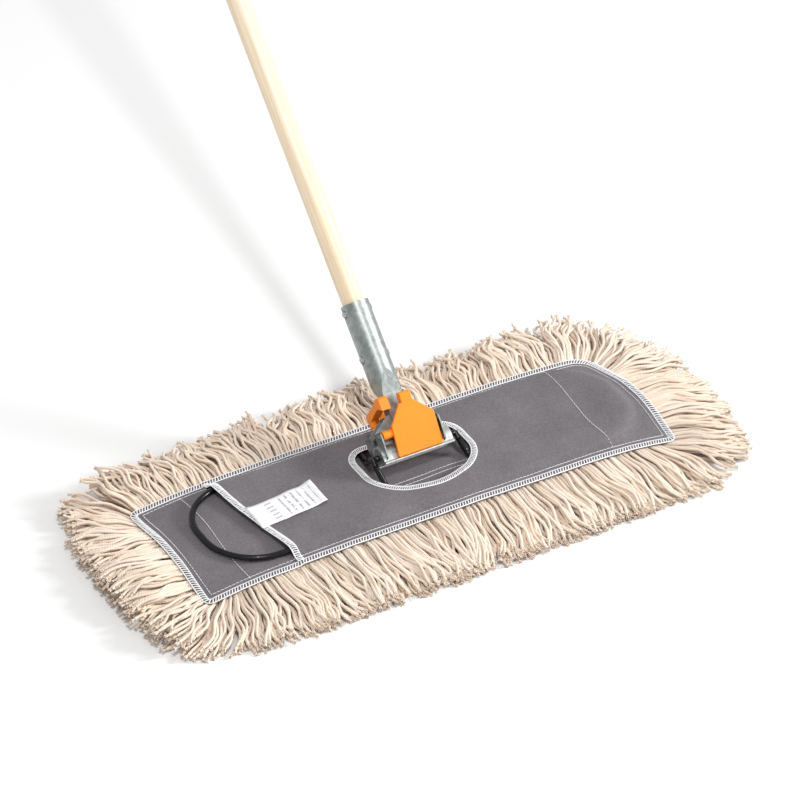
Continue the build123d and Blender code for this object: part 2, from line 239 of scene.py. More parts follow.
def yarnMaterial():
    # The deep colour is painted shade for the ply grooves.
    look = {"pale": rgb(243, 229, 214), "warm": rgb(229, 208, 187), "deep": rgb(205, 174, 150)}
    material, tree, shader = newMaterial("cottonYarn", Roughness=0.9)
    shader.inputs["Specular IOR Level"].default_value = 0.12
    shader.inputs["Sheen Weight"].default_value = 0.2
    place = tree.node("ShaderNodeTexCoord", out="Object")
    tone = tree.node("ShaderNodeAttribute", {"attribute_name": "strandTone"}, None, "Fac")
    along = tree.node("ShaderNodeAttribute", {"attribute_name": "strandAlong"}, None, "Fac")
    around = tree.node("ShaderNodeAttribute", {"attribute_name": "strandTurn"}, None, "Fac")
    twist = ((around + along * 13.0) * (4 * math.pi)).sin()
    fibre = noiseOn(place, 900.0, 3.0, 0.6)
    body = mixColour((tone * 0.8 + fibre * 0.35 - 0.1).clamp(), look["pale"], look["warm"])
    # Painted shade: the deep colour goes into the ply grooves where the twist dips, mixed with random fibre
    # tone.
    grooveShadeAndFibre = ((0.0 - twist) * 0.14 + (fibre - 0.5) * 0.5).clamp()
    plug(mixColour(grooveShadeAndFibre, body, look["deep"]), shader, "Base Color")
    plug(bump(twist * 0.35 + fibre * 0.9, 0.6, 0.0005), shader, "Normal")
    return material


def galvanisedMaterial(name, look):
    material, tree, shader = newMaterial(name, Metallic=1.0)
    place = tree.node("ShaderNodeTexCoord", out="Object")
    cells = place.node("ShaderNodeTexVoronoi", None, {"Vector": place, "Scale": 160.0}, "Color")
    cell = cells.node("ShaderNodeSeparateColor", None, {0: cells})
    streak = noiseOn(stretched(place, (60.0, 60.0, 14.0), (poleLean, 0, 0)), 5.0, 4.0)
    tone = (cell * 0.25 + streak * 0.8 - 0.1).clamp()
    plug(mixColour(tone, look["dull"], look["bright"]), shader, "Base Color")
    plug((look["rough"] + tone * 0.16).clamp(), shader, "Roughness")
    plug(bump(streak + cell * 0.1, 0.12, 0.0006), shader, "Normal")
    return material


def brightSteelMaterial():
    look = {"dull": rgb(150, 152, 152), "bright": rgb(214, 216, 216)}
    material, tree, shader = newMaterial("brightSteel", Metallic=1.0)
    place = tree.node("ShaderNodeTexCoord", out="Object")
    wear = noiseOn(place, 350.0, 3.0)
    plug(mixColour(wear, look["dull"], look["bright"]), shader, "Base Color")
    plug(0.2 + wear * 0.25, shader, "Roughness")
    plug(bump(wear, 0.1, 0.0003), shader, "Normal")
    return material


def orangeMaterial():
    look = {"colour": rgb(255, 143, 12), "deep": rgb(249, 128, 6)}
    material, tree, shader = newMaterial("orangePlastic", Roughness=0.36)
    shader.inputs["Subsurface Weight"].default_value = 0.04
    place = tree.node("ShaderNodeTexCoord", out="Object")
    cloud = noiseOn(place, 60.0, 3.0)
    pores = noiseOn(place, 900.0, 2.0)
    plug(mixColour((cloud * 0.9 - 0.1).clamp(), look["colour"], look["deep"]), shader, "Base Color")
    plug(0.36 + pores * 0.14, shader, "Roughness")
    plug(bump(pores + cloud * 0.3, 0.12, 0.0003), shader, "Normal")
    return material


def blackWireMaterial():
    look = {"colour": (0.004, 0.004, 0.005, 1), "rubbed": (0.014, 0.014, 0.015, 1)}
    material, tree, shader = newMaterial("blackWire", Roughness=0.25, Coat_Weight=0.1)
    place = tree.node("ShaderNodeTexCoord", out="Object")
    wear = noiseOn(place, 220.0, 4.0)
    plug(mixColour((wear * 2.0 - 1.0).clamp(), look["colour"], look["rubbed"]), shader, "Base Color")
    plug(0.2 + wear * 0.16, shader, "Roughness")
    plug(bump(wear, 0.08, 0.0004), shader, "Normal")
    shader.inputs["Specular IOR Level"].default_value = 0.28
    return material


def woodMaterial():
    look = {"pale": rgb(246, 231, 207), "grain": rgb(224, 192, 152)}
    material, tree, shader = newMaterial("poleWood", Roughness=0.42, Coat_Weight=0.25)
    shader.inputs["Coat Roughness"].default_value = 0.25
    place = tree.node("ShaderNodeTexCoord", out="Object")
    upright = stretched(place, (1.0, 1.0, 1.0), (poleLean, 0, 0))
    rings = noiseOn(stretched(upright, (150.0, 150.0, 3.0)), 1.0, 4.0, 0.6)
    fine = noiseOn(stretched(upright, (700.0, 700.0, 12.0)), 1.0, 3.0)
    bands = ((rings * 26.0).sin() * 0.5 + 0.5) * 0.45 + fine * 0.5 - 0.12
    plug(mixColour(bands.clamp(), look["pale"], look["grain"]), shader, "Base Color")
    plug(0.34 + fine * 0.16, shader, "Roughness")
    plug(bump(fine + bands * 0.5, 0.15, 0.0003), shader, "Normal")
    return material


# The care label: its tape is made further down.
label = {
    "low": (-0.178, -0.0215), "size": (0.075, 0.036), "turn": 0.07, "curl": 0.0035, "thickness": 0.0003,
    "tape": rgb(236, 236, 238), "ink": rgb(150, 150, 156), "bars": 11.0, "rows": 3.0, "weave": 0.0007,
}


def labelMaterial():
    material, tree, shader = newMaterial("labelTape", Roughness=0.55)
    place = tree.node("ShaderNodeTexCoord", out="Object")
    x = place.node("ShaderNodeSeparateXYZ", None, {0: place})
    y = x.out(1)
    u = (x - label["low"][0]) / label["size"][0]
    v = (y - label["low"][1] - (x - label["low"][0]) * label["turn"]) / label["size"][1]
    stripe = (u * 2 * math.pi * label["bars"]).sin()
    bars = stripe.math("GREATER_THAN", stripe, 0.55)
    broken = noiseOn(stretched(place, (40.0, 160.0, 1.0)), 4.0, 0.0)
    broken = broken.math("GREATER_THAN", broken, 0.42)
    printed = u.math("GREATER_THAN", u, 0.42) * u.math("LESS_THAN", u, 0.93)
    printed = printed * v.math("GREATER_THAN", v, 0.1) * v.math("LESS_THAN", v, 0.9)
    box = u.math("LESS_THAN", u.math("ABSOLUTE", u - 0.3), 0.05)
    row = (v * 2 * math.pi * label["rows"]).sin()
    box = box * row.math("LESS_THAN", row.math("ABSOLUTE", row), 0.35)
    ink = (bars * broken * printed * 0.75 + box * 0.8).clamp()
    weave = (y * 2 * math.pi / label["weave"]).sin()
    plug(mixColour(ink, label["tape"], label["ink"]), shader, "Base Color")
    plug(bump(weave, 0.2, 0.0002), shader, "Normal")
    return material


steel = {
    "galvanised": {"dull": rgb(122, 130, 129), "bright": rgb(192, 198, 195), "rough": 0.36},
    "hub": {"dull": rgb(196, 202, 200), "bright": rgb(240, 243, 241), "rough": 0.28},
}
materials = {
    "grey_cloth": greyClothMaterial(),
    "thread": threadMaterial(),
    "yarn": yarnMaterial(),
    "galvanised": galvanisedMaterial("galvanisedSteel", steel["galvanised"]),
    "bright_steel": brightSteelMaterial(),
    "orange_plastic": orangeMaterial(),
    "black_wire": blackWireMaterial(),
    "wood": woodMaterial(),
    "label": labelMaterial(),
}
for part in frame["record"]["subparts"]:
    slots = nodes[part["node"]].data.materials
    for index in range(max(len(slots), 1)):
        if len(slots):
            slots[index] = materials[part["material_slot"]]
        else:
            slots.append(materials[part["material_slot"]])
hubMaterial = galvanisedMaterial("hubSteel", steel["hub"])
nodes["hub_shell"].data.materials[0] = hubMaterial
print("materials ready")


# The cloth's outline and height.
cloth = {
    "left": -0.271, "right": 0.251, "half": 0.0815, "top": 0.024,
    "corner": 0.009, "farCorner": 0.026, "bulge": 0.008, "skew": 0.005,
    "cornerDrop": 0.0105, "backDrop": 0.0025, "layer": 0.0012,
    "grid": 0.0032, "thickness": 0.0007,
}
pocket = {
    "mouthBack": -0.190, "mouthFront": -0.169, "leftmost": -0.2, "rise": 0.0066,
    "loop": (0.234, 0.0605, 0.054), "slope": 0.016, "ledge": 0.003, "sag": 0.0022,
    "window": (0.0065, 0.057, 0.041, 0.038, 0.018),
}


def smooth(value):
    value = min(max(value, 0.0), 1.0)
    return value * value * (3 - 2 * value)


def ripple(x, y, size, seed):
    return noise.noise(Vector((x / size, y / size, seed)))


def backingZ(x, y):
    middle = (cloth["left"] + cloth["right"]) / 2
    along = abs(x - middle) / ((cloth["right"] - cloth["left"]) / 2)
    across = abs(y) / cloth["half"]
    corner = cloth["cornerDrop"] * min(along, 1.05) ** 5 * smooth((across - 0.1) / 0.9)
    back = cloth["backDrop"] * smooth((y - 0.058) / 0.024) * (1 - along ** 5)
    soft = 0.0007 * ripple(x, y, 0.055, 3.1) + 0.0004 * ripple(x, y, 0.018, 7.7)
    return cloth["top"] - corner - back + soft


# How far a point lies outside the wire loop's line, negative inside it.
def loopGap(x, y):
    tip, rail, corner = pocket["loop"]
    beyond, beside = x - (tip - corner), abs(y) - (rail - corner)
    if beyond > 0 and beside > 0:
        return math.hypot(beyond, beside) - corner
    return max(beyond, beside) - corner


def pocketZ(x, y):
    between = smooth((0.052 - abs(y)) / 0.03)
    left = smooth((x + 0.215) / 0.05) * smooth((-0.055 - x) / 0.03)
    right = smooth((x - 0.078) / 0.03) * smooth((0.222 - x) / 0.04)
    sag = pocket["sag"] * between * (left + right)
    folds = 0.0014 * ripple(x * 1.6, y, 0.05, 1.3) + 0.0005 * ripple(x, y * 1.5, 0.017, 5.2)
    rise = pocket["rise"] * smooth((pocket["slope"] - loopGap(x, y)) / (pocket["slope"] + pocket["ledge"]))
    low = backingZ(x, y) + cloth["layer"]
    level = cloth["top"] + cloth["layer"] + rise - sag + folds
    lift = smooth(rise / pocket["rise"] * 1.3)
    return low + (level - low) * lift


def arc(middle, radius, start, end, count):
    found = []
    for i in range(count + 1):
        angle = math.radians(start + (end - start) * i / count)
        found.append((middle[0] + radius * math.cos(angle), middle[1] + radius * math.sin(angle)))
    return found


def rightEdge(y, inset=0.0):
    share = y / cloth["half"]
    return cloth["right"] - inset + cloth["bulge"] * (1 - share ** 2) - cloth["skew"] * share


def spaced(points, step, closed=True):
    found = []
    pairs = list(zip(points, points[1:] + points[:1])) if closed else list(zip(points, points[1:]))
    for a, b in pairs:
        count = max(1, round(math.dist(a, b) / step))
        for i in range(count):
            found.append((a[0] + (b[0] - a[0]) * i / count, a[1] + (b[1] - a[1]) * i / count))
    if not closed:
        found.append(tuple(points[-1]))
    return found


def clothOutline(inset=0.0):
    half = cloth["half"] - inset
    left = cloth["left"] + inset
    small = max(cloth["corner"] - inset, 0.0015)
    far = cloth["farCorner"] - inset * 0.6
    points = arc((left + small, -half + small), small, 180, 270, 6)
    edge = rightEdge(-half + small, inset)
    points += arc((edge - small, -half + small), small, 270, 350, 6)
    for i in range(1, 12):
        y = -half + small + (2 * half - small - far) * i / 12
        points.append((rightEdge(y, inset), y))
    edge = rightEdge(half - far, inset)
    points += arc((edge - far, half - far), far, 4, 90, 9)
    points += arc((left + small, half - small), small, 90, 180, 6)
    return points


def mouthX(y):
    share = (y + cloth["half"]) / (2 * cloth["half"])
    wave = 0.0022 * math.sin(share * 5.5 + 0.6)
    return pocket["mouthFront"] + (pocket["mouthBack"] - pocket["mouthFront"]) * share + wave


def windowOutline(grow=0.0):
    x, half, front, back, corner = pocket["window"]
    half, front, back, corner = half + grow, front + grow, back + grow, corner + grow
    points = []
    for i in range(25):
        angle = math.pi + math.pi * i / 24
        points.append((x + half * math.cos(angle), front * math.sin(angle)))
    points += arc((x + half - corner, back - corner), corner, 0, 90, 7)
    points += arc((x - half + corner, back - corner), corner, 90, 180, 7)
    return points


def inside(point, outline):
    x, y = point
    found = False
    for (ax, ay), (bx, by) in zip(outline, outline[1:] + outline[:1]):
        if (ay > y) != (by > y) and x < (bx - ax) * (y - ay) / (by - ay) + ax:
            found = not found
    return found


def edgeGap(point, outline):
    return min(math.dist(point, other) for other in outline)


def clothSheet(name, outline, holes, heightAt, thickness, material):
    loops = [spaced(outline, cloth["grid"])] + [spaced(hole, cloth["grid"]) for hole in holes]
    flat = [Vector(p) for loop in loops for p in loop]
    edges, start = [], 0
    for loop in loops:
        count = len(loop)
        edges += [(start + i, start + (i + 1) % count) for i in range(count)]
        start += count
    rim = [tuple(p) for p in flat]
    step = cloth["grid"]
    x = min(p[0] for p in rim)
    while x < max(p[0] for p in rim):
        y = min(p[1] for p in rim)
        while y < max(p[1] for p in rim):
            point = (x, y + (step / 2 if round(x / step) % 2 else 0))
            if inside(point, loops[0]) and not any(inside(point, h) for h in loops[1:]):
                if edgeGap(point, rim) > step * 0.6:
                    flat.append(Vector(point))
            y += step
        x += step
    points, made, faces = delaunay_2d_cdt(flat, edges, [], 1, 1e-7)[:3]
    kept = []
    for face in faces:
        middle = tuple(sum((points[i] for i in face), Vector((0, 0))) / len(face))
        if inside(middle, loops[0]) and not any(inside(middle, hole) for hole in loops[1:]):
            a, b, c = (points[i] for i in face[:3])
            turned = (b - a).cross(c - a) < 0
            kept.append(tuple(reversed(face)) if turned else tuple(face))
    sheet = meshObject(name, [(p[0], p[1], heightAt(p[0], p[1])) for p in points], kept)
    for polygon in sheet.data.polygons:
        polygon.use_smooth = True
    sheet.data.materials.append(material)
    wall = sheet.modifiers.new("wall", "SOLIDIFY")
    wall.thickness = thickness
    wall.offset = -1
    return sheet


backing = clothSheet("backingSheet", clothOutline(), [], backingZ, cloth["thickness"],
                     materials["grey_cloth"])
pocketLine = [(mouthX(y), y) for y in [cloth["half"] * (1 - 2 * i / 40) for i in range(41)]]
pocketOutline = pocketLine + [p for p in clothOutline(0.0002) if p[0] > pocket["leftmost"]]
pocketPiece = clothSheet("pocketSheet", pocketOutline, [windowOutline()], pocketZ, cloth["thickness"],
                         materials["grey_cloth"])
print("cloth ready")


# Geometry Nodes helpers.
def newTree(name, numbers, vectors=()):
    tree = bpy.data.node_groups.new(name, "GeometryNodeTree")
    tree.interface.new_socket("Geometry", in_out="INPUT", socket_type="NodeSocketGeometry")
    for key in numbers:
        tree.interface.new_socket(key, in_out="INPUT", socket_type="NodeSocketFloat")
    for key in vectors:
        tree.interface.new_socket(key, in_out="INPUT", socket_type="NodeSocketVector")
    tree.interface.new_socket("material", in_out="INPUT", socket_type="NodeSocketMaterial")
    tree.interface.new_socket("Geometry", in_out="OUTPUT", socket_type="NodeSocketGeometry")
    return Sock(tree).node("NodeGroupInput")


def aboveFloor(shape):
    place = shape.node("GeometryNodeInputPosition")
    parts = place.node("ShaderNodeSeparateXYZ", None, {0: place})
    height = parts.math("MAXIMUM", parts.out(2), floorGap)
    held = place.node("ShaderNodeCombineXYZ", None, {0: parts, 1: parts.out(1), 2: height})
    return shape.node("GeometryNodeSetPosition", None, {0: shape, "Position": held})


def finishTree(result, material):
    solid = result.node("GeometryNodeRealizeInstances", None, {0: result})
    rounded = solid.node("GeometryNodeSetShadeSmooth", None, {0: solid})
    painted = rounded.node("GeometryNodeSetMaterial", None, {0: rounded, "Material": material})
    end = painted.tree.nodes.new("NodeGroupOutput")
    painted.tree.links.new(painted.socket, end.inputs[0])


def grown(host, tree, values, name):
    modifier = host.modifiers.new("grow", "NODES")
    modifier.node_group = tree
    for item in tree.interface.items_tree:
        if item.item_type == "SOCKET" and item.in_out == "INPUT" and item.name in values:
            modifier[item.identifier] = values[item.name]
    host.update_tag()
    bpy.context.view_layer.update()
    evaluated = host.evaluated_get(bpy.context.evaluated_depsgraph_get())
    mesh = bpy.data.meshes.new_from_object(evaluated)
    mesh.name = name
    host.modifiers.clear()
    made = bpy.data.objects.new(name, mesh)
    bpy.context.scene.collection.objects.link(made)
    bpy.data.objects.remove(host)
    print(name, len(mesh.polygons), "faces")
    return made


def pathObject(lines):
    points, edges = [], []
    for line, closed in lines:
        start = len(points)
        points += line
        edges += [(start + i, start + i + 1) for i in range(len(line) - 1)]
        if closed:
            edges.append((start + len(line) - 1, start))
    return meshObject("path", points, [], edges)


def roundSection(tree, sides, radius):
    return tree.node("GeometryNodeCurvePrimitiveCircle", {"mode": "RADIUS"},
                     {"Resolution": sides, "Radius": radius})


def threadTube(tree, points, radius):
    line = tree.node("GeometryNodeCurveQuadraticBezier", None,
                     {"Resolution": 3, "Start": points[0], "Middle": points[1], "End": points[2]})
    ring = roundSection(tree, 5, radius)
    return tree.node("GeometryNodeCurveToMesh", None, {0: line, 1: ring, "Fill Caps": True})


def alignedPoints(curve, spacing):
    points = curve.node("GeometryNodeCurveToPoints", {"mode": "LENGTH"}, {"Curve": curve, "Length": spacing})
    turn = points.node("FunctionNodeAlignRotationToVector", {"axis": "X", "pivot_axis": "Z"},
                       {"Vector": points.out("Tangent")})
    return points, turn


def stitchTree():
    start = newTree("stitchRow", ("spacing", "stitchLength", "thickness"))
    curve = start.node("GeometryNodeMeshToCurve", None, {0: start})
    points, turn = alignedPoints(curve, start.out("spacing"))
    half = start.out("stitchLength") * 0.5
    buried = -0.0002  # the ends dip into the cloth
    head = half.node("ShaderNodeCombineXYZ", None, {0: half, 2: buried})
    tail = half.node("ShaderNodeCombineXYZ", None, {0: half * -1.0, 2: buried})
    top = half.node("ShaderNodeCombineXYZ", None, {0: 0.0, 2: start.out("thickness") * 1.6})
    tube = threadTube(start, (tail, top, head), start.out("thickness") * 0.5)
    wobble = start.node("FunctionNodeRandomValue", {"data_type": "FLOAT"},
                        {2: 0.9, 3: 1.1, "Seed": 4}, 1)
    made = points.node("GeometryNodeInstanceOnPoints", None,
                       {0: points, "Instance": tube, "Rotation": turn, "Scale": wobble})
    finishTree(made, start.out("material"))
    return start.tree


def overlockTree():
    start = newTree("overlockBars", ("spacing", "width", "slant", "thickness", "arch", "edgeThread"))
    curve = start.node("GeometryNodeMeshToCurve", None, {0: start})
    upright = curve.node("GeometryNodeSetCurveNormal", {"mode": "Z_UP"}, {0: curve})
    points, turn = alignedPoints(upright, start.out("spacing"))
    half = start.out("width") * 0.5
    lean = start.out("slant") * 0.5
    first = half.node("ShaderNodeCombineXYZ", None, {0: lean, 1: half, 2: 0.0})
    last = half.node("ShaderNodeCombineXYZ", None, {0: lean * -1.0, 1: half * -1.0, 2: 0.0})
    top = half.node("ShaderNodeCombineXYZ", None, {0: 0.0, 1: 0.0, 2: start.out("arch")})
    tube = threadTube(start, (first, top, last), start.out("thickness") * 0.5)
    jitter = start.node("FunctionNodeRandomValue", {"data_type": "FLOAT"}, {2: -0.16, 3: 0.16, "Seed": 9}, 1)
    spun = turn.node("FunctionNodeRotateRotation", {"rotation_space": "LOCAL"},
                     {0: turn, 1: jitter.node("ShaderNodeCombineXYZ", None, {2: jitter})})
    bars = points.node("GeometryNodeInstanceOnPoints", None, {0: points, "Instance": tube, "Rotation": spun})
    normal = upright.node("GeometryNodeInputNormal")
    joined = [bars]
    for side in (1.0, -1.0):
        shift = normal.vector("SCALE", normal)
        shift.tree.links.new((half * side).socket, shift.socket.node.inputs["Scale"])
        moved = upright.node("GeometryNodeSetPosition", None, {0: upright, "Offset": shift})
        ring = roundSection(moved, 5, start.out("edgeThread") * 0.5)
        joined.append(moved.node("GeometryNodeCurveToMesh", None, {0: moved, 1: ring}))
    join = start.node("GeometryNodeJoinGeometry")
    for piece in joined:
        start.tree.links.new(piece.socket, join.socket.node.inputs[0])
    finishTree(join, start.out("material"))
    return start.tree


stitches = {"spacing": 0.0042, "stitchLength": 0.0036, "thickness": 0.0006, "material": materials["thread"]}
overlock = {
    "spacing": 0.0030, "width": 0.0062, "slant": 0.0026, "thickness": 0.0012, "arch": 0.0018,
    "edgeThread": 0.0012, "material": materials["thread"],
}
windowOverlock = dict(overlock, spacing=0.0022, thickness=0.0010, width=0.0056, slant=0.0022)
mouthOverlock = dict(overlock, spacing=0.0023)
seams = {
    "edge": 0.0105, "mouthHalf": 0.0765, "lift": 0.0002, "overlockLift": 0.0003,
    "yarnRows": (-0.017, -0.023), "yarnRowLeft": -0.150, "yarnRowLength": 0.330,
    "crossRows": ((-0.219, 0.002), (0.188, 0.0025)), "crossFront": -0.070, "crossLength": 0.141,
}
rowTree = stitchTree()
barTree = overlockTree()


def raised(points, heightAt, lift):
    return [(x, y, heightAt(x, y) + lift) for x, y in points]


def topZ(x, y):
    return pocketZ(x, y) if x > mouthX(y) else backingZ(x, y)


def overlockAlong(name, line, closed, heightAt, values):
    path = pathObject([(raised(line, heightAt, seams["overlockLift"]), closed)])
    return grown(path, barTree, values, name)


outer = spaced(clothOutline(overlock["width"] / 2 - 0.0004), 0.003)
outerThread = overlockAlong("outerOverlockThread", outer, True, topZ, overlock)
ring = spaced(windowOutline(windowOverlock["width"] / 2 - 0.0002), 0.003)
windowThread = overlockAlong("windowOverlockThread", ring, True, pocketZ, windowOverlock)
mouthYs = [seams["mouthHalf"] - 2 * seams["mouthHalf"] * i / 50 for i in range(51)]
mouth = [(mouthX(y) + mouthOverlock["width"] / 2 - 0.0004, y) for y in mouthYs]
mouthThread = overlockAlong("mouthOverlockThread", mouth, False, pocketZ, mouthOverlock)


# Rows of lockstitch: inside the edge, along the yarn's middle, and across the cloth.
def stitchLines():
    lift = seams["lift"]
    rows = [(raised(spaced(clothOutline(seams["edge"]), 0.004), topZ, lift), True)]
    for y in seams["yarnRows"]:
        xs = [seams["yarnRowLeft"] + seams["yarnRowLength"] * i / 90 for i in range(91)]
        rows.append((raised([(x, y + 0.0006 * math.sin(x * 60)) for x in xs], backingZ, lift), False))
    for x, sway in seams["crossRows"]:
        ys = [seams["crossFront"] + seams["crossLength"] * i / 40 for i in range(41)]
        rows.append((raised([(x + sway * math.sin(y * 45), y) for y in ys], topZ, lift), False))
    return rows


rowThread = grown(pathObject(stitchLines()), rowTree, stitches, "lockstitchRows")
print("threads ready")


# Yarn: strands fan out from the cloth's edge.
yarn = {
    "frontFringe": {
        "count": 820.0, "length": 0.075, "tipLow": 0.002, "tipHigh": 0.011,
        "wave": 0.0042, "hump": 0.005, "clump": 0.30, "seed": 3.0,
    },
    "backFringe": {
        "count": 860.0, "length": 0.063, "tipLow": 0.008, "tipHigh": 0.030,
        "wave": 0.0062, "hump": 0.008, "clump": 0.28, "seed": 11.0,
    },
    "leftFringe": {
        "count": 360.0, "length": 0.070, "tipLow": 0.004, "tipHigh": 0.022,
        "wave": 0.0044, "hump": 0.007, "clump": 0.34, "seed": 23.0,
    },
    "rightFringe": {
        "count": 360.0, "length": 0.074, "tipLow": 0.003, "tipHigh": 0.016,
        "wave": 0.0040, "hump": 0.007, "clump": 0.36, "seed": 31.0,
    },
}
strand = {
    "radius": 0.00162, "depth": 0.013, "inset": 0.004, "core": 0.046, "steps": 12,
    "gap": 0.0065, "sunk": 0.0035, "sides": 5,
}
frayed = {
    "hairs": 4, "back": 0.004, "ahead": 0.0050, "radius": 0.0009, "spread": (0.6, 0.32, 0.32), "seed": 77,
}


def chance(start, low, high, seed):
    found = start.node("FunctionNodeRandomValue", {"data_type": "FLOAT"}, {2: low, 3: high}, 1)
    salt = start.out("seed") + float(seed)
    start.tree.links.new(salt.socket, found.socket.node.inputs["Seed"])
    return found


def keep(geometry, name, value, kind="FLOAT"):
    return geometry.node("GeometryNodeStoreNamedAttribute", {"data_type": kind, "domain": "POINT"},
                         {0: geometry, "Name": name, "Value": value})


def kept(start, name, kind="FLOAT"):
    return start.node("GeometryNodeInputNamedAttribute", {"data_type": kind}, {"Name": name})


def scaled(vector, amount):
    found = vector.vector("SCALE", vector)
    vector.tree.links.new(amount.socket, found.socket.node.inputs["Scale"])
    return found


def rootsAlong(start):
    curve = start.node("GeometryNodeMeshToCurve", None, {0: start})
    roots = curve.node("GeometryNodeCurveToPoints", {"mode": "COUNT"}, {"Curve": curve})
    start.tree.links.new(start.out("count").socket, roots.socket.node.inputs["Count"])
    return roots


def strandsOn(roots, end, steps):
    line = roots.node("GeometryNodeCurvePrimitiveLine", None, {"Start": (0, 0, 0), "End": end})
    line = line.node("GeometryNodeResampleCurve", {"mode": "COUNT"}, {0: line, "Count": steps})
    made = roots.node("GeometryNodeInstanceOnPoints", None, {0: roots, "Instance": line})
    return made.node("GeometryNodeRealizeInstances", None, {0: made})


def strandTubes(start, lines):
    ring = roundSection(start, strand["sides"], start.out("radius"))
    ring = keep(ring, "strandTurn", start.node("GeometryNodeSplineParameter"))
    return lines.node("GeometryNodeCurveToMesh", None, {0: lines, 1: ring, "Fill Caps": True})


# A few short hairs, which every strand carries at its cut end.
def hairTuft(start):
    low = tuple(-part for part in frayed["spread"])
    hairs = start.node("GeometryNodePoints", None, {"Count": frayed["hairs"], "Position": (0.0, 0.0, 0.0)})
    hair = start.node("GeometryNodeCurvePrimitiveLine", None,
                      {"Start": (-frayed["back"], 0, 0), "End": (frayed["ahead"], 0, 0)})
    spin = start.node("FunctionNodeRandomValue", {"data_type": "FLOAT_VECTOR"},
                      {0: low, 1: frayed["spread"], "Seed": frayed["seed"]})
    hairs = hairs.node("GeometryNodeInstanceOnPoints", None, {0: hairs, "Instance": hair, "Rotation": spin})
    hairs = hairs.node("GeometryNodeRealizeInstances", None, {0: hairs})
    thin = start.node("GeometryNodeSplineParameter")
    hairs = hairs.node("GeometryNodeSetCurveRadius", None, {0: hairs, "Radius": 1.0 - thin * 0.7})
    ring = roundSection(start, 3, frayed["radius"])
    return hairs.node("GeometryNodeCurveToMesh", None, {0: hairs, 1: ring})


